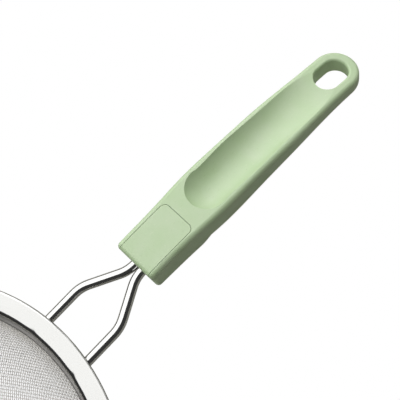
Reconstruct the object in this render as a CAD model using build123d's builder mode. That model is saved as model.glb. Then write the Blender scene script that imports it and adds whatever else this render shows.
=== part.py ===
"""Hand-held flour sifter: a fine mesh bowl in a wide rim, carried by two wire arms and a moulded handle.

Frame: the origin is the centre of the rim's mouth, level with its top edge. +X runs along the handle to
its tip, +Z is up, out of the bowl. Lengths are in millimetres.
"""

from build123d import *
import math
import os

# Rim: one formed sheet ring, with a turned-down outer lip, a wide flange and an inner collar.
rim_r = 100.0  # outside radius of the lip
sheet_t = 0.8
rim_slope = 5.0  # degrees that the flange falls towards the bowl
lip_h = 1.7
edge_r = 1.1  # rounding of the outer edge
fold_r = 1.9  # rounding of the inner fold
collar_r = 89.9  # inside radius of the collar
collar_z = -11.5  # lower end of the collar

# Clamping ring inside the collar, and the mesh between the two.
mesh_t = 1.0
ring_t = 1.0
ring_top_z = -4.9
ring_lip_t = 0.8
ring_leg_z = -11.2
ring_edge_r = 0.75
bowl_depth = 75.0
bowl_wall_z = -12.5  # the mesh is upright down to here, and domed below

# Wire arms, side by side in the handle and spread at the rim.
arm_d = 4.6
arm_z = -4.1
arm_neck_y = 2.35
arm_rim_y = 13.3
arm_bend_r = 16.0
arm_hook_r = 3.2
wire_gap = 0.2  # play of both wires together in their channel
arm_hook_y = 8.2  # how far the hooked inner end reaches sideways
arm_spread_x = 24.2  # outer corner of the S-bend, before the neck's end
arm_meet_x = 4.2  # inner corner of the S-bend, before the neck's end
hook_x = 22.0  # the hooks' place, past the neck's end
weld_leg = 1.0
weld_run = 1.6
weld_hollow_r = 2.2
weld_top_z = -2.65  # the beads stay clear of the flange's inner fillet

# Rest loop opposite the handle.
loop_d = 3.6
loop_z = arm_z + (arm_d - loop_d) / 2
loop_half = 13.0
loop_reach = 15.0
loop_bend_r = 7.5

# Handle. Its own lengths run from the neck's end, and its heights from the neck's top.
neck_x = 142.6
neck_z = 5.9
handle_length = 140.0
arch_r = 540.0  # radius of the top line, level at the neck and falling to the tip
tip_r = 11.2
neck_half = 11.4
neck_end = 28.0
neck_end_half = 12.0
belly_x = 40.0
belly_half = 12.7
palm_x = 64.0
palm_half = 12.65
grip_x = 88.0
grip_half = 12.45
top_edge_r = 2.0
belly_edge_r = 4.6
neck_edge_r = 1.2
neck_corner_r = 2.0
neck_t = 15.7
underside = [(0, -neck_t), (24, -17.4), (belly_x, -19.2), (grip_x, -21.2), (128, -27.0), (141, -29.8)]

# Straight-sided lower block of the neck, which stands out from the handle by a skin and then dives into it.
neck_skin = 0.06
block_top = -3.2
block_bottom = [(0, -neck_t - neck_skin), (24, -17.5), (42, -18.4)]
dive_start_half = 15.2  # the sides' half width at the neck's end, before the handle's outline cuts them
dive_end_half = 10.2  # and at the block's far end

# Thumb scoop along the top: length from the neck's end, half width, depth.
scoop_stations = [
    (46.0, 10.3, 5.4),
    (60.0, 10.3, 5.3),
    (80.0, 10.1, 4.3),
    (98.0, 9.9, 3.0),
    (110.0, 9.4, 1.8),
    (118.0, 8.0, 0.7),
    (126.0, 6.0, 0.1),
]
scoop_clear = 4.0  # how far the scoop's cutter stands above the surface

# Hanging slot through the tip.
slot_width = 12.5
slot_length = 17.9
slot_x = 126.05
slot_edge_r = 1.1

# Inlaid neck cover over the wires.
cover_length = 28.4
cover_half = 9.05
cover_corner_r = 2.75
cover_t = 3.0
cover_gap = 0.22
peg_r = 1.4
peg_length = 3.0
peg_x = 12.0
peg_y = 6.6
overrun = 1.0  # how far the cover's cutter runs past the neck's end

# Worked out from the above.
arm_depth = neck_z - arm_z
channel_w = 2 * arm_neck_y + arm_d + wire_gap
rib_length = hook_x + arm_d / 2 - cover_gap
slope_rad = math.radians(rim_slope)
corner_z = edge_r * (math.tan(slope_rad) + 1 / math.cos(slope_rad) - 1)
under_drop = sheet_t / math.cos(slope_rad)
neck = Plane(origin=(neck_x, 0, neck_z))
neck_side = Plane(origin=(neck_x, 0, neck_z), x_dir=(1, 0, 0), z_dir=(0, -1, 0))


def flange_z(r):
    """Height of the flange's upper face, carried on to any radius."""
    return corner_z - (rim_r - r) * math.tan(slope_rad)


def arch_z(x):
    """Height of the handle's top line at a length from the neck's end."""
    return math.sqrt(arch_r**2 - x**2) - arch_r


def scoop_plane(x):
    """Plane square to the top line, with its first axis along +Y and its second one up."""
    turn = math.asin(x / arch_r)
    foot = (neck_x + x, 0, neck_z + arch_z(x))
    return Plane(origin=foot, x_dir=(0, 1, 0), z_dir=(math.cos(turn), 0, -math.sin(turn)))


def make_rim_flange():
    """Sheet ring: turned-down lip, wide flange, inner fold and collar."""
    outside = [
        (rim_r, -lip_h),
        (rim_r, corner_z),
        (collar_r, flange_z(collar_r)),
        (collar_r, collar_z),
    ]
    inside = [
        (collar_r + sheet_t, collar_z),
        (collar_r + sheet_t, flange_z(collar_r + sheet_t) - under_drop),
        (rim_r - sheet_t, flange_z(rim_r - sheet_t) - under_drop),
        (rim_r - sheet_t, -lip_h),
    ]
    rim_cut_r = sheet_t * 0.4
    radii = [rim_cut_r, edge_r, fold_r, rim_cut_r, rim_cut_r, fold_r - sheet_t, edge_r - sheet_t, rim_cut_r]
    with BuildPart() as rim_flange:
        with BuildSketch(Plane.XZ):
            with BuildLine():
                FilletPolyline(*outside, *inside, radius=radii, close=True)
            make_face()
        revolve(axis=Axis.Z)
    return rim_flange


def make_clamp_ring():
    """Ring inside the collar: its leg presses the mesh outwards and its lip covers the mesh's edge."""
    leg_r = collar_r - mesh_t
    inner_r = leg_r - ring_t
    with BuildPart() as clamp_ring:
        with BuildSketch(Plane.XZ):
            with BuildLine():
                FilletPolyline(
                    (collar_r, ring_top_z),
                    (inner_r, ring_top_z),
                    (inner_r, ring_leg_z),
                    (leg_r, ring_leg_z),
                    (leg_r, ring_top_z - ring_lip_t),
                    (collar_r, ring_top_z - ring_lip_t),
                    radius=[0, ring_edge_r, 0, 0, 0, 0],
                    close=True,
                )
            make_face()
        revolve(axis=Axis.Z)
    return clamp_ring


def make_mesh_bowl():
    """Bowl of woven wire cloth as a closed shell, upright under the ring and half an ellipse below."""
    top_z = ring_top_z - ring_lip_t
    inner_r = collar_r - mesh_t
    dome_h = bowl_depth + bowl_wall_z
    with BuildPart() as mesh_bowl:
        with BuildSketch(Plane.XZ):
            with BuildLine():
                Line((collar_r, top_z), (collar_r, bowl_wall_z))
                EllipticalCenterArc((0, bowl_wall_z), collar_r, dome_h, start_angle=270, arc_size=90)
                Line((0, -bowl_depth), (0, mesh_t - bowl_depth))
                EllipticalCenterArc((0, bowl_wall_z), inner_r, dome_h - mesh_t, start_angle=270, arc_size=90)
                Line((inner_r, bowl_wall_z), (inner_r, top_z))
                Line((inner_r, top_z), (collar_r, top_z))
            make_face()
        revolve(axis=Axis.Z)
    return mesh_bowl


def make_arm(side):
    """One S-bent wire from the rim's collar, under the flange, into the neck, where it ends in a hook."""
    points = [
        (collar_r - arm_d, side * arm_rim_y, arm_z),
        (neck_x - arm_spread_x, side * arm_rim_y, arm_z),
        (neck_x - arm_meet_x, side * arm_neck_y, arm_z),
        (neck_x + hook_x, side * arm_neck_y, arm_z),
        (neck_x + hook_x, side * arm_hook_y, arm_z),
    ]
    with BuildPart() as arm:
        with BuildLine() as path:
            FilletPolyline(*points, radius=[arm_bend_r, arm_bend_r, arm_hook_r])
        with BuildSketch(Plane(origin=points[0], z_dir=(1, 0, 0))):
            Circle(arm_d / 2)
        sweep(path=path.line)
        Cylinder(collar_r + sheet_t, 4 * arm_d, mode=Mode.SUBTRACT)
        add(make_rim_flange().part, mode=Mode.SUBTRACT)
    return arm


def facing(builder, way):
    """Largest face of a part that looks mostly up (way 1) or down (way -1)."""
    faces = builder.faces().filter_by(lambda face: face.normal_at().Z * way > 0.8)
    return faces.sort_by(SortBy.AREA)[-1]


def on_slot_mouth(edge):
    """True for the edges round the two mouths of the hanging slot."""
    near_x = abs(edge.center().X - neck_x - slot_x) < slot_length / 2
    near_y = abs(edge.center().Y) < slot_width / 2 + 0.01
    upright = edge.bounding_box().size.X < 0.01
    return near_x and near_y and not upright


def weld_profile(wire_d):
    """Half section of a weld bead, from the rim's collar out along a wire of this diameter."""
    wire_r = wire_d / 2
    crown = wire_r + weld_leg
    with BuildSketch() as profile:
        with BuildLine():
            Line((-weld_leg, wire_r), (weld_run, wire_r))
            RadiusArc((weld_run, wire_r), (0, crown), weld_hollow_r)
            Line((0, crown), (-weld_leg, crown))
            Line((-weld_leg, crown), (-weld_leg, wire_r))
        make_face()
    return profile.sketch


def make_arm_welds():
    """Weld bead round the end of each arm, against the rim's collar and flange."""
    reach = math.sqrt((collar_r + sheet_t) ** 2 - arm_rim_y**2)
    with BuildPart() as arm_welds:
        for side in (-1, 1):
            foot = (reach, side * arm_rim_y, arm_z)
            with BuildSketch(Plane(origin=foot, x_dir=(1, 0, 0), z_dir=(0, -1, 0))):
                add(weld_profile(arm_d))
            revolve(axis=Axis(foot, (1, 0, 0)))
        Cylinder(collar_r + sheet_t, 4 * arm_d, mode=Mode.SUBTRACT)
        split(bisect_by=Plane.XY.offset(weld_top_z), keep=Keep.BOTTOM)
    return arm_welds


def make_rest_loop():
    """Flat U of wire, opposite the handle, that rests on a pot's edge."""
    reach = rim_r + loop_reach
    root = collar_r - loop_d
    points = [
        (-root, -loop_half, loop_z),
        (-reach, -loop_half, loop_z),
        (-reach, loop_half, loop_z),
        (-root, loop_half, loop_z),
    ]
    with BuildPart() as rest_loop:
        with BuildLine() as path:
            FilletPolyline(*points, radius=loop_bend_r)
        with BuildSketch(Plane(origin=points[0], z_dir=(-1, 0, 0))):
            Circle(loop_d / 2)
        sweep(path=path.line)
        Cylinder(collar_r + sheet_t, 4 * loop_d, mode=Mode.SUBTRACT)
        add(make_rim_flange().part, mode=Mode.SUBTRACT)
    return rest_loop


def make_loop_welds():
    """Weld bead round each end of the rest loop."""
    reach = math.sqrt((collar_r + sheet_t) ** 2 - loop_half**2)
    with BuildPart() as loop_welds:
        for side in (-1, 1):
            foot = (-reach, side * loop_half, loop_z)
            with BuildSketch(Plane(origin=foot, x_dir=(-1, 0, 0), z_dir=(0, 1, 0))):
                add(weld_profile(loop_d))
            revolve(axis=Axis(foot, (1, 0, 0)))
        Cylinder(collar_r + sheet_t, 4 * loop_d, mode=Mode.SUBTRACT)
        split(bisect_by=Plane.XY.offset(weld_top_z), keep=Keep.BOTTOM)
    return loop_welds


def handle_plan(skin):
    """Handle's outline seen from above, moved outwards by a skin."""
    tip_centre = handle_length - tip_r
    with BuildSketch() as plan:
        with BuildLine():
            Line((0, 0), (0, neck_half + skin))
            Spline(
                (0, neck_half + skin),
                (neck_end, neck_end_half + skin),
                (belly_x, belly_half + skin),
                (palm_x, palm_half + skin),
                (grip_x, grip_half + skin),
                (tip_centre, tip_r + skin),
                tangents=((1, 0.01), (1, 0)),
            )
            RadiusArc((tip_centre, tip_r + skin), (handle_length + skin, 0), tip_r + skin)
            Line((handle_length + skin, 0), (0, 0))
        make_face()
        mirror(about=Plane.XZ)
    return plan.sketch


def make_neck_block():
    """Straight-sided lower part of the neck, whose sides dive into the rounder belly."""
    block_end = block_bottom[-1][0]
    with BuildPart() as neck_block:
        with BuildSketch(neck_side.offset(-2 * belly_half)):
            with BuildLine():
                Polyline(*block_bottom, (block_end, block_top), (0, block_top), close=True)
            make_face()
        extrude(amount=4 * belly_half)
        with BuildSketch(neck):
            add(handle_plan(neck_skin))
        extrude(amount=4 * belly_half, both=True, mode=Mode.INTERSECT)
        with BuildSketch(neck):
            with BuildLine():
                Polyline(
                    (0, -dive_start_half),
                    (block_end, -dive_end_half),
                    (block_end, dive_end_half),
                    (0, dive_start_half),
                    close=True,
                )
            make_face()
        extrude(amount=4 * belly_half, both=True, mode=Mode.INTERSECT)
        fillet(neck_block.edges().filter_by(Axis.Z).group_by(Axis.X)[0], neck_corner_r)
        long_edges = facing(neck_block, -1).edges().sort_by(Axis.X)[:-1]
        fillet(long_edges, neck_edge_r)
    return neck_block


def make_handle_blank():
    """Outside of the whole handle, still solid, that the body and its cover are both cut from."""
    past_tip = underside[-1][0]
    with BuildPart() as blank:
        with BuildSketch(neck_side.offset(-2 * belly_half)):
            with BuildLine():
                Line((0, -neck_t), (0, 0))
                ThreePointArc((0, 0), (grip_x, arch_z(grip_x)), (past_tip, arch_z(past_tip)))
                Line((past_tip, arch_z(past_tip)), underside[-1])
                Spline(*underside)
            make_face()
        extrude(amount=4 * belly_half)
        with BuildSketch(neck):
            add(handle_plan(0))
        extrude(amount=4 * belly_half, both=True, mode=Mode.INTERSECT)
        fillet(facing(blank, -1).edges().sort_by(Axis.X)[1:], belly_edge_r)
        fillet(blank.edges().filter_by(Axis.Z).group_by(Axis.X)[0], neck_corner_r)
        fillet(facing(blank, 1).edges(), top_edge_r)
        add(make_neck_block().part)
    return blank


def scoop_section(half, depth):
    """Section of the thumb scoop: an arc below the surface, closed well above it."""
    with BuildSketch() as section:
        with BuildLine():
            ThreePointArc((-half, 0), (0, -depth), (half, 0))
            Polyline((half, 0), (half, scoop_clear), (-half, scoop_clear), (-half, 0))
        make_face()
    return section.sketch


def make_scoop():
    """Cutter for the thumb scoop: a round blunt end, then a trough that runs out at the hanging slot."""
    first_x, first_half, first_depth = scoop_stations[0]
    blunt_plane = scoop_plane(first_x)
    with BuildPart() as scoop:
        for x, half, depth in scoop_stations:
            with BuildSketch(scoop_plane(x)):
                add(scoop_section(half, depth))
        loft()
        with BuildSketch(blunt_plane):
            add(scoop_section(first_half, first_depth))
            split(bisect_by=Plane.YZ)
        revolve(axis=Axis(blunt_plane.origin, blunt_plane.y_dir))
    return scoop


def cover_plan(gap):
    """Outline of the neck cover, open towards the arms, grown by a gap."""
    half = cover_half + gap
    length = cover_length + gap
    with BuildSketch() as plan:
        with BuildLine():
            FilletPolyline(
                (-overrun, -half),
                (length, -half),
                (length, half),
                (-overrun, half),
                radius=[0, cover_corner_r + gap, cover_corner_r + gap, 0],
                close=True,
            )
        make_face()
    return plan.sketch


def make_handle_body():
    """Moulded body: thumb scoop, hanging slot, seat for the cover and channels for the wires."""
    with BuildPart() as handle_body:
        add(make_handle_blank().part)
        with BuildSketch(neck.offset(-handle_length)):
            with Locations((slot_x, 0)):
                SlotOverall(slot_length, slot_width)
        extrude(amount=2 * handle_length, mode=Mode.SUBTRACT)
        fillet(handle_body.edges().filter_by(on_slot_mouth), slot_edge_r)
        add(make_scoop().part, mode=Mode.SUBTRACT)
        with BuildSketch(neck.offset(-cover_t)):
            add(cover_plan(cover_gap))
        extrude(amount=2 * cover_t, mode=Mode.SUBTRACT)
        with BuildSketch(neck.offset(-arm_depth)):
            with Locations((hook_x / 2, 0)):
                Rectangle(hook_x + channel_w / 2, channel_w)
            with Locations((hook_x, 0)):
                Rectangle(channel_w / 2, 2 * arm_hook_y + wire_gap)
        extrude(amount=arm_depth, mode=Mode.SUBTRACT)
        with BuildSketch(neck.offset(-cover_t - peg_length)):
            with Locations((peg_x, -peg_y), (peg_x, peg_y)):
                Circle(peg_r)
        extrude(amount=2 * peg_length, mode=Mode.SUBTRACT)
        add(make_arm(1).part, mode=Mode.SUBTRACT)
        add(make_arm(-1).part, mode=Mode.SUBTRACT)
    return handle_body


def make_neck_cover():
    """Inlaid cover: its skin continues the neck, its rib presses the wires down and its pegs hold it."""
    with BuildPart() as neck_cover:
        add(make_handle_blank().part)
        with BuildSketch(neck.offset(-cover_t)):
            add(cover_plan(0))
        extrude(amount=2 * cover_t, mode=Mode.INTERSECT)
        with BuildSketch(neck.offset(-arm_depth + arm_d / 2)):
            with Locations((rib_length / 2, 0)):
                Rectangle(rib_length, channel_w - 2 * cover_gap)
        extrude(until=Until.NEXT)
        with BuildSketch(neck.offset(-cover_t - peg_length)):
            with Locations((peg_x, -peg_y), (peg_x, peg_y)):
                Circle(peg_r)
        extrude(amount=peg_length)
    return neck_cover


if __name__ == "__main__":
    os.makedirs("parts", exist_ok=True)
    pieces = {
        "rim_flange": make_rim_flange(),
        "clamp_ring": make_clamp_ring(),
        "mesh_bowl": make_mesh_bowl(),
        "arm_left": make_arm(1),
        "arm_right": make_arm(-1),
        "arm_welds": make_arm_welds(),
        "rest_loop": make_rest_loop(),
        "loop_welds": make_loop_welds(),
        "handle_body": make_handle_body(),
        "neck_cover": make_neck_cover(),
    }
    for name, piece in pieces.items():
        piece.part.label = name
        export_step(piece.part, f"parts/{name}.step")
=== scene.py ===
"""Flour sifter: woven wire bowl in a steel rim, two bent wire arms and a pale green moulded handle.

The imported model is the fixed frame. The bowl's shell is replaced by real woven wires, and the rim
by a copy that is dimpled at its spot welds. Every other part keeps its shape and gets its finish
here. Lengths given in millimetres are turned to metres by MM. The floor, the lights and the
camera's place are given in metres.
"""

import math

import bmesh
import bpy
from mathutils import Matrix, Vector


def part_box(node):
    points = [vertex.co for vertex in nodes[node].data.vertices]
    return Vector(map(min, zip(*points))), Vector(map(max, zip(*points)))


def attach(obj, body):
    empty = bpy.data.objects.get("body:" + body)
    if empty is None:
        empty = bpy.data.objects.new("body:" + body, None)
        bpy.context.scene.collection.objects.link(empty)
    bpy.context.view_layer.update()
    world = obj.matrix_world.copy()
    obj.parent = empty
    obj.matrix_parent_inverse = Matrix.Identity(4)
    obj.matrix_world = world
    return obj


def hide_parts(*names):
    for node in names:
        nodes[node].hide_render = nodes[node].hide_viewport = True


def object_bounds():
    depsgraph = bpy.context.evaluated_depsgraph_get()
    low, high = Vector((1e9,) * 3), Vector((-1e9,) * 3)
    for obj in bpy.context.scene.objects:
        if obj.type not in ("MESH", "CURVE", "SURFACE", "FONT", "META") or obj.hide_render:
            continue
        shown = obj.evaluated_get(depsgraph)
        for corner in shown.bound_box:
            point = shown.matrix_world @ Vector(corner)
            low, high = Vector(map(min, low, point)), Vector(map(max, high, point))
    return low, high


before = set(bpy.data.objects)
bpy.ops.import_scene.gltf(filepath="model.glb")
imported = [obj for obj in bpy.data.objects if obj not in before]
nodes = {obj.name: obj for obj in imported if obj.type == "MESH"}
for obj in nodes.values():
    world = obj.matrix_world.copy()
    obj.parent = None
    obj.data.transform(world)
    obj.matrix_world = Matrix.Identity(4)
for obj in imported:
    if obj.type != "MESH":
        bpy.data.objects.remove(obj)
cad_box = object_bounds()

MM = 0.001

# Woven cloth, in millimetres.
BOWL_WALL_TOP = -6.2  # where the wires end, inside the clamping ring
BOWL_WALL_FOOT = -12.5  # the cloth is upright above this height and domed below
CLOTH_SHELL = 1.0  # thickness of the shell that the cloth fills
WARP_PITCH = 1.24
WEFT_PITCH = 1.76
CLOTH_WIRE = 0.38
CLOTH_WIRE_SIDES = 5
CLOTH_TURN = -53.4  # degrees from the handle's axis to the warp wires
CLOTH_SWAY = 0.35  # how far pressing has shifted a wire
CLOTH_SWAY_SIZE = 16.0  # how far apart two such shifts are
MERIDIAN_STEPS = 160

# Spot welds of the wires to the rim, in millimetres. Each one pulls the sheet's inner fold down and
# outwards.
COLLAR_OUTSIDE = 90.7
ARM_SIDE = 13.3  # from the handle's axis to a wire at the rim
LOOP_SIDE = 13.0
DIMPLE_DROP = 0.06
DIMPLE_PUSH = 0.18
DIMPLE_LENGTH = 1.5  # round the rim, from the middle to where it fades
DIMPLE_WIDTH = 0.9  # across the flange, and down the collar
DIMPLE_FLOOR = -3.0  # the dimple fades down the collar from this height
DIMPLE_FAINT = 0.01  # share of the pull below which the rim counts as undented
DIMPLE_CUTS = 11  # finer steps across the flange, for the dimples to bend
MERGE_GAP = 0.001  # corners nearer than this are one
RING_DIGITS = 2  # radii and heights that agree to this many decimals are one ring

# Surface patterns, in millimetres.
HUSK_CLOUD = 9.0
FLECK_LENGTH = 1.6
FLECK_WIDTH = 0.5
TOOL_GRAIN = 0.4
TOOL_GRAIN_DEPTH = 0.03
DRAWN_LINE_LENGTH = 30.0
DRAWN_LINE_WIDTH = 0.25
DRAWN_LINE_DEPTH = 0.01
WIRE_SMEAR = 6.0
SHEET_SMEAR = 12.0
CLOTH_SMEAR = 7.0
HEAT_TINT = 2.2
BEAD_RIPPLE = 0.7
BEAD_RIPPLE_DEPTH = 0.12

TURNED_LINE_BREAKS = 6.0  # how often a turned line changes, per radian round the axis
NOISE_LOW, NOISE_HIGH = 0.3, 0.7  # nearly all of a noise lies between these


def linear(colour):
    """Linear colour with alpha from an sRGB hex value."""
    parts = [int(colour[i : i + 2], 16) / 255 for i in (1, 3, 5)]
    return [c / 12.92 if c <= 0.04045 else ((c + 0.055) / 1.055) ** 2.4 for c in parts] + [1.0]


def per(size):
    """Texture scale, in patterns per metre, for a pattern of a size in millimetres."""
    return 1 / (size * MM)


def add(tree, kind, inputs=(), **settings):
    """One node with its settings, and its inputs set to a value or linked to a socket."""
    node = tree.nodes.new(kind)
    for name, value in settings.items():
        setattr(node, name, value)
    for name, value in dict(inputs).items():
        if isinstance(value, bpy.types.NodeSocket):
            tree.links.new(value, node.inputs[name])
        else:
            node.inputs[name].default_value = value
    return node


# ---------------------------------------------------------------- materials


def new_material(name):
    """Material with one Principled shader: its tree, the shader and the Object coordinates."""
    material = bpy.data.materials.new(name)
    material.use_nodes = True
    tree = material.node_tree
    tree.nodes.clear()
    shader = add(tree, "ShaderNodeBsdfPrincipled")
    add(tree, "ShaderNodeOutputMaterial", {"Surface": shader.outputs[0]})
    place = add(tree, "ShaderNodeTexCoord").outputs["Object"]
    return material, tree, shader, place


def moulded_straw_plastic():
    """Wheat-straw filled polypropylene, moulded in a spark-eroded tool.

    It is matte and pale, with faint husk flecks.
    """
    material, tree, shader, place = new_material("wheat straw polypropylene")
    # Ground husk mixes unevenly, which gives clouds of slightly warmer and cooler green.
    cloud = add(
        tree,
        "ShaderNodeTexNoise",
        {"Vector": place, "Scale": per(HUSK_CLOUD), "Detail": 3.0},
    )
    cloudy = add(
        tree,
        "ShaderNodeMix",
        {"Factor": cloud.outputs[0], 6: linear("#A5BF8F"), 7: linear("#B5C6A5")},
        data_type="RGBA",
    )
    # Flecks lie along the flow of the plastic, down the handle.
    flow = add(
        tree,
        "ShaderNodeMapping",
        {"Vector": place, "Scale": (per(FLECK_LENGTH), per(FLECK_WIDTH), per(FLECK_WIDTH))},
    )
    fleck = add(
        tree,
        "ShaderNodeTexNoise",
        {"Vector": flow.outputs[0], "Scale": 1.0, "Detail": 2.0},
    )
    dark_part = add(
        tree,
        "ShaderNodeMapRange",
        {"Value": fleck.outputs[0], "From Min": 0.66, "From Max": 0.76, "To Max": 0.42},
    )
    light_part = add(
        tree,
        "ShaderNodeMapRange",
        {"Value": fleck.outputs[0], "From Min": 0.34, "From Max": 0.24, "To Max": 0.4},
    )
    flecked = add(
        tree,
        "ShaderNodeMix",
        {"Factor": dark_part.outputs[0], 6: cloudy.outputs[2], 7: linear("#8DA06B")},
        data_type="RGBA",
    )
    coloured = add(
        tree,
        "ShaderNodeMix",
        {"Factor": light_part.outputs[0], 6: flecked.outputs[2], 7: linear("#CBD4BA")},
        data_type="RGBA",
    )
    # The spark-eroded grain of the tool. The real one is finer, and is drawn as coarse as it needs
    # to show.
    grain = add(
        tree,
        "ShaderNodeTexNoise",
        {"Vector": place, "Scale": per(TOOL_GRAIN), "Detail": 2.0},
    )
    gloss = add(
        tree,
        "ShaderNodeMapRange",
        {
            "Value": grain.outputs[0],
            "From Min": NOISE_LOW,
            "From Max": NOISE_HIGH,
            "To Min": 0.42,
            "To Max": 0.54,
        },
    )
    bump = add(
        tree,
        "ShaderNodeBump",
        {"Height": grain.outputs[0], "Strength": 0.5, "Distance": TOOL_GRAIN_DEPTH * MM},
    )
    tree.links.new(coloured.outputs[2], shader.inputs["Base Color"])
    tree.links.new(gloss.outputs[0], shader.inputs["Roughness"])
    tree.links.new(bump.outputs[0], shader.inputs["Normal"])
    shader.inputs["IOR"].default_value = 1.49
    # Above the usual 0.5, matched to the soft sheen of this handle.
    shader.inputs["Specular IOR Level"].default_value = 0.85
    return material


def drawn_wire_steel():
    """Stainless wire, drawn and then polished: mirror-like, with hair-fine lines along the wire."""
    material, tree, shader, place = new_material("drawn stainless wire")
    along = add(
        tree,
        "ShaderNodeMapping",
        {
            "Vector": place,
            "Scale": (per(DRAWN_LINE_LENGTH), per(DRAWN_LINE_WIDTH), per(DRAWN_LINE_WIDTH)),
        },
    )
    lines = add(
        tree,
        "ShaderNodeTexNoise",
        {"Vector": along.outputs[0], "Scale": 1.0, "Detail": 3.0},
    )
    smear = add(
        tree,
        "ShaderNodeTexNoise",
        {"Vector": place, "Scale": per(WIRE_SMEAR), "Detail": 3.0},
    )
    gloss = add(
        tree,
        "ShaderNodeMapRange",
        {
            "Value": smear.outputs[0],
            "From Min": NOISE_LOW,
            "From Max": NOISE_HIGH,
            "To Min": 0.07,
            "To Max": 0.16,
        },
    )
    bump = add(
        tree,
        "ShaderNodeBump",
        {"Height": lines.outputs[0], "Strength": 0.25, "Distance": DRAWN_LINE_DEPTH * MM},
    )
    shader.inputs["Base Color"].default_value = linear("#C2C2C0")
    shader.inputs["Metallic"].default_value = 1.0
    tree.links.new(gloss.outputs[0], shader.inputs["Roughness"])
    tree.links.new(bump.outputs[0], shader.inputs["Normal"])
    return material


def turned_steel(name, colour, line_width, line_depth, rough_low, rough_high):
    """Stainless sheet finished while it spins: fine lines run round the bowl's axis.

    The lines' width and depth are in millimetres.
    """
    material, tree, shader, place = new_material(name)
    split = add(tree, "ShaderNodeSeparateXYZ", {0: place})
    flat = add(tree, "ShaderNodeCombineXYZ", {0: split.outputs[0], 1: split.outputs[1]})
    radius = add(tree, "ShaderNodeVectorMath", {0: flat.outputs[0]}, operation="LENGTH")
    bearing = add(
        tree,
        "ShaderNodeMath",
        {0: split.outputs[1], 1: split.outputs[0]},
        operation="ARCTAN2",
    )
    section = add(
        tree,
        "ShaderNodeMath",
        {0: radius.outputs["Value"], 1: split.outputs[2]},
        operation="SUBTRACT",
    )
    across = add(
        tree,
        "ShaderNodeMath",
        {0: section.outputs[0], 1: per(line_width)},
        operation="MULTIPLY",
    )
    round_axis = add(
        tree,
        "ShaderNodeMath",
        {0: bearing.outputs[0], 1: TURNED_LINE_BREAKS},
        operation="MULTIPLY",
    )
    wound = add(tree, "ShaderNodeCombineXYZ", {0: across.outputs[0], 1: round_axis.outputs[0]})
    lines = add(
        tree,
        "ShaderNodeTexNoise",
        {"Vector": wound.outputs[0], "Scale": 1.0, "Detail": 3.0},
    )
    smear = add(
        tree,
        "ShaderNodeTexNoise",
        {"Vector": place, "Scale": per(SHEET_SMEAR), "Detail": 4.0},
    )
    gloss = add(
        tree,
        "ShaderNodeMapRange",
        {
            "Value": smear.outputs[0],
            "From Min": NOISE_LOW,
            "From Max": NOISE_HIGH,
            "To Min": rough_low,
            "To Max": rough_high,
        },
    )
    bump = add(
        tree,
        "ShaderNodeBump",
        {"Height": lines.outputs[0], "Strength": 0.4, "Distance": line_depth * MM},
    )
    shader.inputs["Base Color"].default_value = linear(colour)
    shader.inputs["Metallic"].default_value = 1.0
    tree.links.new(gloss.outputs[0], shader.inputs["Roughness"])
    tree.links.new(bump.outputs[0], shader.inputs["Normal"])
    return material


def weld_bead_steel():
    """Weld bead in stainless steel: rippled, satin, with straw and blue heat tint."""
    material, tree, shader, place = new_material("stainless weld bead")
    tint = add(
        tree,
        "ShaderNodeTexNoise",
        {"Vector": place, "Scale": per(HEAT_TINT), "Detail": 2.0},
    )
    colours = add(tree, "ShaderNodeValToRGB", {"Fac": tint.outputs[0]})
    ramp = colours.color_ramp
    ramp.elements[0].position = 0.35
    ramp.elements[0].color = linear("#8C93A0")
    ramp.elements[1].position = 0.62
    ramp.elements[1].color = linear("#B7A98C")
    ripple = add(
        tree,
        "ShaderNodeTexNoise",
        {"Vector": place, "Scale": per(BEAD_RIPPLE), "Detail": 2.0},
    )
    bump = add(
        tree,
        "ShaderNodeBump",
        {"Height": ripple.outputs[0], "Strength": 0.8, "Distance": BEAD_RIPPLE_DEPTH * MM},
    )
    shader.inputs["Metallic"].default_value = 1.0
    shader.inputs["Roughness"].default_value = 0.34
    tree.links.new(colours.outputs[0], shader.inputs["Base Color"])
    tree.links.new(bump.outputs[0], shader.inputs["Normal"])
    return material


def cloth_wire_steel():
    """Fine stainless wire as woven: bright and satin, a little duller where the dies rubbed it."""
    material, tree, shader, place = new_material("woven stainless wire")
    smear = add(
        tree,
        "ShaderNodeTexNoise",
        {"Vector": place, "Scale": per(CLOTH_SMEAR), "Detail": 3.0},
    )
    shade = add(
        tree,
        "ShaderNodeMix",
        {"Factor": smear.outputs[0], 6: linear("#ECEAE7"), 7: linear("#F3F1EE")},
        data_type="RGBA",
    )
    gloss = add(
        tree,
        "ShaderNodeMapRange",
        {
            "Value": smear.outputs[0],
            "From Min": NOISE_LOW,
            "From Max": NOISE_HIGH,
            "To Min": 0.55,
            "To Max": 0.68,
        },
    )
    # Steel is fully metallic. The share taken off here lets the fill light reach the cloth, because
    # reflections leave that light out.
    shader.inputs["Metallic"].default_value = 0.7
    tree.links.new(shade.outputs[2], shader.inputs["Base Color"])
    tree.links.new(gloss.outputs[0], shader.inputs["Roughness"])
    return material


# ---------------------------------------------------------------- rim


def spot_weld_bearings():
    """Bearings of the four wire ends, seen from the bowl's axis."""
    arm_turn = math.asin(ARM_SIDE / COLLAR_OUTSIDE)
    loop_turn = math.asin(LOOP_SIDE / COLLAR_OUTSIDE)
    return [arm_turn, -arm_turn, math.pi - loop_turn, math.pi + loop_turn]


def from_weld(point, weld):
    """Angle round the rim from a weld to a point."""
    return math.remainder(math.atan2(point.y, point.x) - weld, math.tau)


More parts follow.
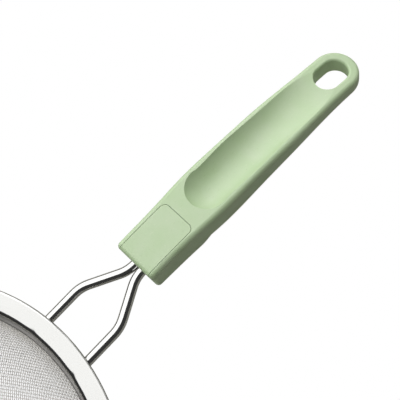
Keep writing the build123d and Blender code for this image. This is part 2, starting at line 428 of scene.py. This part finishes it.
def turned_normals(work, pulls):
    """Normals of a turned part, the same all round at each radius and height but for dimples."""
    work.normal_update()
    rings = {}
    places = []
    for corner, pull in zip(work.verts, pulls):
        outward = corner.co.xy.normalized()
        ring = (
            round(corner.co.xy.length / MM, RING_DIGITS),
            round(corner.co.z / MM, RING_DIGITS),
        )
        places.append((outward, ring))
        if pull < DIMPLE_FAINT:
            lean = Vector((corner.normal.xy.dot(outward), corner.normal.z))
            rings[ring] = rings.get(ring, Vector((0.0, 0.0))) + lean
    normals = []
    for corner, pull, (outward, ring) in zip(work.verts, pulls, places):
        if pull < DIMPLE_FAINT and rings[ring].length > 0:
            lean = rings[ring]
            normals.append(Vector((*(outward * lean.x), lean.y)).normalized())
        else:
            normals.append(corner.normal.copy())
    return normals


def welded_rim():
    """The rim with a shallow dimple in its inner fold at each spot weld."""
    mesh = bpy.data.meshes.new("welded_rim")
    work = bmesh.new()
    work.from_mesh(nodes["rim_flange"].data)
    bmesh.ops.remove_doubles(work, verts=work.verts, dist=MERGE_GAP * MM)
    welds = spot_weld_bearings()
    # The flat flange has no corners between its edges, so it is cut all round.
    wide = []
    for edge in work.edges:
        start, end = (corner.co.xy.length for corner in edge.verts)
        if abs(start - end) > 2 * DIMPLE_WIDTH * MM:
            wide.append(edge)
    bmesh.ops.subdivide_edges(work, edges=wide, cuts=DIMPLE_CUTS)
    bmesh.ops.triangulate(work, faces=[face for face in work.faces if len(face.verts) > 3])
    pulls = []
    for corner in work.verts:
        radius = corner.co.xy.length
        across = max(0.0, radius - COLLAR_OUTSIDE * MM) / (DIMPLE_WIDTH * MM)
        below = min(0.0, corner.co.z - DIMPLE_FLOOR * MM) / (DIMPLE_WIDTH * MM)
        pull = 0.0
        for weld in welds:
            along = from_weld(corner.co, weld) * radius / (DIMPLE_LENGTH * MM)
            pull += math.exp(-(along**2 + across**2 + below**2) / 2)
        grown = 1 + DIMPLE_PUSH * MM * pull / radius
        corner.co.x *= grown
        corner.co.y *= grown
        corner.co.z -= DIMPLE_DROP * MM * pull
        pulls.append(pull)
    normals = turned_normals(work, pulls)
    work.to_mesh(mesh)
    work.free()
    mesh.shade_smooth()
    mesh.normals_split_custom_set_from_vertices(normals)
    piece = bpy.data.objects.new("welded_rim", mesh)
    bpy.context.scene.collection.objects.link(piece)
    return piece


# ---------------------------------------------------------------- woven cloth


def bowl_meridian():
    """Line along the middle of the cloth's shell, from the lowest point out and up the wall."""
    low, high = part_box("mesh_bowl")
    half_shell = CLOTH_SHELL * MM / 2
    reach = high.x - half_shell
    foot = BOWL_WALL_FOOT * MM
    drop = foot - (low.z + half_shell)
    turns = [math.pi / 2 * i / MERIDIAN_STEPS for i in range(MERIDIAN_STEPS + 1)]
    points = [(reach * math.sin(t), 0.0, foot - drop * math.cos(t)) for t in turns]
    points.append((reach, 0.0, BOWL_WALL_TOP * MM))
    mesh = bpy.data.meshes.new("bowl meridian")
    mesh.from_pydata(points, [(i, i + 1) for i in range(len(points) - 1)], [])
    return mesh


def weaving_tree():
    """Lays a flat sheet of parallel wires over the bowl, bent over and under at the crossings."""
    tree = bpy.data.node_groups.new("woven wires", "GeometryNodeTree")
    tree.interface.new_socket("Geometry", in_out="INPUT", socket_type="NodeSocketGeometry")
    for name in ("Crossing pitch", "Wire pitch", "Wire diameter", "Turn", "Lift", "Side", "Sway"):
        tree.interface.new_socket(name, in_out="INPUT", socket_type="NodeSocketFloat")
    tree.interface.new_socket("Material", in_out="INPUT", socket_type="NodeSocketMaterial")
    tree.interface.new_socket("Geometry", in_out="OUTPUT", socket_type="NodeSocketGeometry")
    given = add(tree, "NodeGroupInput").outputs
    meridian = add(tree, "GeometryNodeMeshToCurve", {"Mesh": given["Geometry"]}).outputs[0]
    reach = add(tree, "GeometryNodeCurveLength", {"Curve": meridian}).outputs[0]

    # A flat grid with one point at each crossing, of which only the lines along X are kept.
    sizes, counts = [], []
    for pitch in (given["Crossing pitch"], given["Wire pitch"]):
        share = add(tree, "ShaderNodeMath", {0: reach, 1: pitch}, operation="DIVIDE").outputs[0]
        half = add(tree, "ShaderNodeMath", {0: share}, operation="CEIL").outputs[0]
        steps = add(tree, "ShaderNodeMath", {0: half, 1: 2.0}, operation="MULTIPLY").outputs[0]
        size = add(tree, "ShaderNodeMath", {0: steps, 1: pitch}, operation="MULTIPLY")
        count = add(tree, "ShaderNodeMath", {0: steps, 1: 1.0}, operation="ADD")
        sizes.append(size.outputs[0])
        counts.append(count.outputs[0])
    grid = add(
        tree,
        "GeometryNodeMeshGrid",
        {"Size X": sizes[0], "Size Y": sizes[1], "Vertices X": counts[0], "Vertices Y": counts[1]},
    ).outputs[0]
    ends = add(tree, "GeometryNodeInputMeshEdgeVertices").outputs
    run = add(
        tree,
        "ShaderNodeVectorMath",
        {0: ends["Position 2"], 1: ends["Position 1"]},
        operation="SUBTRACT",
    ).outputs[0]
    run_y = add(tree, "ShaderNodeSeparateXYZ", {0: run}).outputs[1]
    run_size = add(tree, "ShaderNodeMath", {0: run_y}, operation="ABSOLUTE").outputs[0]
    half_pitch = add(
        tree, "ShaderNodeMath", {0: given["Wire pitch"], 1: 0.5}, operation="MULTIPLY"
    ).outputs[0]
    crosswise = add(
        tree, "ShaderNodeMath", {0: run_size, 1: half_pitch}, operation="GREATER_THAN"
    ).outputs[0]
    wires = add(
        tree,
        "GeometryNodeDeleteGeometry",
        {"Geometry": grid, "Selection": crosswise},
        domain="EDGE",
        mode="EDGE_FACE",
    ).outputs[0]

    # Number each crossing, and find on which side of its partner the wire passes.
    here = add(tree, "GeometryNodeInputPosition").outputs[0]
    flat = add(tree, "ShaderNodeSeparateXYZ", {0: here}).outputs
    numbers = []
    for axis, pitch in ((0, given["Crossing pitch"]), (1, given["Wire pitch"])):
        share = add(
            tree, "ShaderNodeMath", {0: flat[axis], 1: pitch}, operation="DIVIDE"
        ).outputs[0]
        numbers.append(add(tree, "ShaderNodeMath", {0: share}, operation="ROUND").outputs[0])
    count = add(tree, "ShaderNodeMath", {0: numbers[0], 1: numbers[1]}, operation="ADD").outputs[0]
    odd = add(tree, "ShaderNodeMath", {0: count, 1: 2.0}, operation="FLOORED_MODULO").outputs[0]
    swing = add(
        tree, "ShaderNodeMath", {0: odd, 1: 2.0, 2: -1.0}, operation="MULTIPLY_ADD"
    ).outputs[0]
    lift = add(
        tree, "ShaderNodeMath", {0: swing, 1: given["Lift"]}, operation="MULTIPLY"
    ).outputs[0]

    # Keep one side's wires, and only what reaches the bowl.
    row = add(tree, "ShaderNodeMath", {0: numbers[1], 1: 0.5}, operation="ADD").outputs[0]
    kept = add(tree, "ShaderNodeMath", {0: row, 1: given["Side"]}, operation="MULTIPLY").outputs[0]
    other = add(tree, "ShaderNodeMath", {0: kept, 1: 0.0}, operation="LESS_THAN").outputs[0]
    span = add(tree, "ShaderNodeVectorMath", {0: here}, operation="LENGTH").outputs["Value"]
    beyond = add(tree, "ShaderNodeMath", {0: span, 1: reach}, operation="GREATER_THAN").outputs[0]
    unwanted = add(
        tree, "FunctionNodeBooleanMath", {0: other, 1: beyond}, operation="OR"
    ).outputs[0]
    held = add(
        tree,
        "GeometryNodeStoreNamedAttribute",
        {"Geometry": wires, "Name": "lift", "Value": lift},
    )
    cut = add(
        tree,
        "GeometryNodeDeleteGeometry",
        {"Geometry": held.outputs[0], "Selection": unwanted},
        domain="POINT",
        mode="ALL",
    ).outputs[0]

    # Turn the sheet to its lay, let it sway a little as pressed cloth does, and wrap it by arc
    # length.
    turned = add(
        tree,
        "ShaderNodeVectorRotate",
        {"Vector": here, "Angle": given["Turn"]},
        rotation_type="Z_AXIS",
    ).outputs[0]
    drift = add(
        tree,
        "ShaderNodeTexNoise",
        {"Vector": turned, "Scale": per(CLOTH_SWAY_SIZE), "Detail": 1.0},
        normalize=False,
    ).outputs["Color"]
    shift = add(
        tree, "ShaderNodeVectorMath", {0: drift, "Scale": given["Sway"]}, operation="SCALE"
    ).outputs[0]
    level = add(
        tree, "ShaderNodeVectorMath", {0: shift, 1: (1.0, 1.0, 0.0)}, operation="MULTIPLY"
    ).outputs[0]
    swayed = add(tree, "ShaderNodeVectorMath", {0: turned, 1: level}, operation="ADD").outputs[0]
    outward = add(tree, "ShaderNodeVectorMath", {0: swayed}, operation="NORMALIZE").outputs[0]
    far = add(tree, "ShaderNodeVectorMath", {0: swayed}, operation="LENGTH").outputs["Value"]
    sample = add(
        tree, "GeometryNodeSampleCurve", {"Curves": meridian, "Length": far}, mode="LENGTH"
    ).outputs
    spot = add(tree, "ShaderNodeSeparateXYZ", {0: sample["Position"]}).outputs
    lie = add(tree, "ShaderNodeSeparateXYZ", {0: sample["Tangent"]}).outputs
    parts = []
    sunk = add(tree, "ShaderNodeMath", {0: lie[0], 1: -1.0}, operation="MULTIPLY").outputs[0]
    for level_part, upright_part in ((spot[0], spot[2]), (lie[2], sunk)):
        wide = add(
            tree, "ShaderNodeVectorMath", {0: outward, "Scale": level_part}, operation="SCALE"
        ).outputs[0]
        tall = add(tree, "ShaderNodeCombineXYZ", {2: upright_part}).outputs[0]
        part = add(tree, "ShaderNodeVectorMath", {0: wide, 1: tall}, operation="ADD")
        parts.append(part.outputs[0])
    lifted = add(
        tree, "GeometryNodeInputNamedAttribute", {"Name": "lift"}, data_type="FLOAT"
    ).outputs[0]
    bend = add(
        tree, "ShaderNodeVectorMath", {0: parts[1], "Scale": lifted}, operation="SCALE"
    ).outputs[0]
    final = add(tree, "ShaderNodeVectorMath", {0: parts[0], 1: bend}, operation="ADD").outputs[0]
    laid = add(tree, "GeometryNodeSetPosition", {"Geometry": cut, "Position": final}).outputs[0]

    # Give the lines their thickness.
    lines = add(tree, "GeometryNodeMeshToCurve", {"Mesh": laid}).outputs[0]
    radius = add(
        tree, "ShaderNodeMath", {0: given["Wire diameter"], 1: 0.5}, operation="MULTIPLY"
    ).outputs[0]
    profile = add(
        tree, "GeometryNodeCurvePrimitiveCircle", {"Resolution": CLOTH_WIRE_SIDES, "Radius": radius}
    ).outputs[0]
    tubes = add(
        tree,
        "GeometryNodeCurveToMesh",
        {"Curve": lines, "Profile Curve": profile, "Fill Caps": True},
    ).outputs[0]
    smooth = add(tree, "GeometryNodeSetShadeSmooth", {"Geometry": tubes}).outputs[0]
    real = add(tree, "GeometryNodeRealizeInstances", {"Geometry": smooth}).outputs[0]
    painted = add(
        tree, "GeometryNodeSetMaterial", {"Geometry": real, "Material": given["Material"]}
    ).outputs[0]
    add(tree, "NodeGroupOutput", {"Geometry": painted})
    return tree


def weave(name, tree, meridian, material, across, side):
    """One piece of cloth: the wires of one direction, on one side of the bowl's middle."""
    crossing_pitch, wire_pitch = (WEFT_PITCH, WARP_PITCH) if across else (WARP_PITCH, WEFT_PITCH)
    values = {
        "Crossing pitch": crossing_pitch * MM,
        "Wire pitch": wire_pitch * MM,
        "Wire diameter": CLOTH_WIRE * MM,
        "Turn": math.radians(CLOTH_TURN + (90 if across else 0)),
        "Lift": CLOTH_WIRE * MM / 2 * (-1 if across else 1),
        "Side": float(side),
        "Sway": CLOTH_SWAY * MM,
        "Material": material,
    }
    source = bpy.data.objects.new(name + "_lines", meridian)
    bpy.context.scene.collection.objects.link(source)
    modifier = source.modifiers.new("weave", "NODES")
    modifier.node_group = tree
    for item in tree.interface.items_tree:
        if item.in_out == "INPUT" and item.name in values:
            modifier[item.identifier] = values[item.name]
    depsgraph = bpy.context.evaluated_depsgraph_get()
    mesh = bpy.data.meshes.new_from_object(source.evaluated_get(depsgraph), depsgraph=depsgraph)
    source.modifiers.remove(modifier)
    bpy.data.objects.remove(source)
    mesh.name = name
    piece = bpy.data.objects.new(name, mesh)
    bpy.context.scene.collection.objects.link(piece)
    return piece


# ---------------------------------------------------------------- finishes

plastic = moulded_straw_plastic()
wire_finish = drawn_wire_steel()
weld_finish = weld_bead_steel()
rim_finish = turned_steel(
    "polished rim steel",
    "#B2B2B0",
    line_width=0.5,
    line_depth=0.001,
    rough_low=0.09,
    rough_high=0.13,
)
ring_finish = turned_steel(
    "rolled ring steel",
    "#A3A19E",
    line_width=0.3,
    line_depth=0.004,
    rough_low=0.62,
    rough_high=0.74,
)
cloth_finish = cloth_wire_steel()

FINISHES = {
    "handle_body": plastic,
    "neck_cover": plastic,
    "arm_left": wire_finish,
    "arm_right": wire_finish,
    "rest_loop": wire_finish,
    "arm_welds": weld_finish,
    "loop_welds": weld_finish,
    "clamp_ring": ring_finish,
}
for node_name, finish in FINISHES.items():
    for material_slot in nodes[node_name].material_slots:
        material_slot.material = finish

rim = welded_rim()
rim.data.materials.append(rim_finish)
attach(rim, "root")
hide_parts("rim_flange")

meridian_mesh = bowl_meridian()
weave_nodes = weaving_tree()
for across, thread in ((False, "warp"), (True, "weft")):
    for side, half in ((1, "upper"), (-1, "lower")):
        name = f"cloth_{thread}_{half}"
        cloth = weave(name, weave_nodes, meridian_mesh, cloth_finish, across, side)
        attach(cloth, "root")
        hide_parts("mesh_bowl")

# ---------------------------------------------------------------- floor, light and camera

FLOOR_DROP = 0.5  # the floor is this far below the bowl, in millimetres
FLOOR_HALF = 4.0
BOUNCE_COLOUR = "#A5A49C"
AIR_GLOW = 0.06  # what the room gives from all round
LENS = 72.0  # in millimetres, as the sensor is
SENSOR_WIDTH = 36.0
CAMERA_PLACE = Vector((0.1446, -0.1253, 0.3299))
CAMERA_RIGHT = Vector((0.69167, -0.69821, -0.18464))
CAMERA_UP = Vector((0.71414, 0.62310, 0.31898))
CAMERA_BACK = Vector((-0.10767, -0.35249, 0.92960))

floor_material, floor_tree, floor_shader = new_material("matte white board")[:3]
floor_shader.inputs["Base Color"].default_value = linear(BOUNCE_COLOUR)
floor_shader.inputs["Roughness"].default_value = 1.0
floor_shader.inputs["Specular IOR Level"].default_value = 0.0
# The camera sees the board burnt out to white, as a lit background is. The object only gets its
# dim bounce.
ray = add(floor_tree, "ShaderNodeLightPath")
glow = add(floor_tree, "ShaderNodeEmission", {"Color": linear("#FFFFFF"), "Strength": 1.0})
board = add(
    floor_tree,
    "ShaderNodeMixShader",
    {0: ray.outputs["Is Camera Ray"], 1: floor_shader.outputs[0], 2: glow.outputs[0]},
)
floor_output = next(n for n in floor_tree.nodes if n.type == "OUTPUT_MATERIAL")
floor_tree.links.new(board.outputs[0], floor_output.inputs["Surface"])
floor_z = cad_box[0].z - FLOOR_DROP * MM
floor_mesh = bpy.data.meshes.new("floor")
corners = [
    (side_x * FLOOR_HALF, side_y * FLOOR_HALF, floor_z)
    for side_x, side_y in ((-1, -1), (1, -1), (1, 1), (-1, 1))
]
floor_mesh.from_pydata(corners, [], [(0, 1, 2, 3)])
floor_mesh.materials.append(floor_material)
floor = bpy.data.objects.new("floor", floor_mesh)
bpy.context.scene.collection.objects.link(floor)

world = bpy.data.worlds.new("studio")
world.use_nodes = True
world.node_tree.nodes.clear()
# The camera sees white paper all round, and the object only the dim air of the room.
air = add(
    world.node_tree,
    "ShaderNodeBackground",
    {"Color": linear("#FFFFFF"), "Strength": AIR_GLOW},
)
paper = add(world.node_tree, "ShaderNodeBackground", {"Color": linear("#FFFFFF"), "Strength": 1.0})
seen = add(world.node_tree, "ShaderNodeLightPath").outputs["Is Camera Ray"]
sky = add(world.node_tree, "ShaderNodeMixShader", {0: seen, 1: air.outputs[0], 2: paper.outputs[0]})
add(world.node_tree, "ShaderNodeOutputWorld", {"Surface": sky.outputs[0]})
bpy.context.scene.world = world
bpy.context.scene.view_settings.view_transform = "Standard"


def softbox(name, centre, aim, size, radiance, glossy=True):
    """Rectangular studio light facing a point. Reflections leave it out if it isn't glossy."""
    data = bpy.data.lights.new(name, "AREA")
    data.shape = "RECTANGLE"
    data.size, data.size_y = size
    data.energy = radiance * math.pi * size[0] * size[1]
    light = bpy.data.objects.new(name, data)
    light.location = centre
    light.visible_glossy = glossy
    light.rotation_euler = (Vector(aim) - Vector(centre)).to_track_quat("-Z", "Y").to_euler()
    bpy.context.scene.collection.objects.link(light)


softbox("overhead box", (0.51, 0.41, 1.2), (0.51, 0.41, 0.0), (1.86, 1.18), 2.0)
softbox("side box", (0.45, 1.35, 1.0), (0.45, 0.0, 0.35), (2.2, 1.5), 2.0)
softbox("end box", (1.8, 0.1, 0.45), (0.3, 0.0, 0.0), (1.2, 0.8), 1.3)
softbox("corner box", (1.6, 1.3, 0.5), (0.2, 0.0, 0.0), (1.7, 0.9), 1.3)
# The fill softens the shade on the plastic and the cloth. The polished steel keeps its dark side.
softbox("front fill", (-1.0, -0.3, 0.8), (0.1, 0.0, 0.0), (1.2, 1.2), 1.2, glossy=False)

camera_data = bpy.data.cameras.new("camera")
camera_data.lens = LENS
camera_data.sensor_width = SENSOR_WIDTH
camera = bpy.data.objects.new("camera", camera_data)
camera.matrix_world = Matrix.LocRotScale(
    CAMERA_PLACE,
    Matrix((CAMERA_RIGHT, CAMERA_UP, CAMERA_BACK)).transposed(),
    None,
)
bpy.context.scene.collection.objects.link(camera)
bpy.context.scene.camera = camera
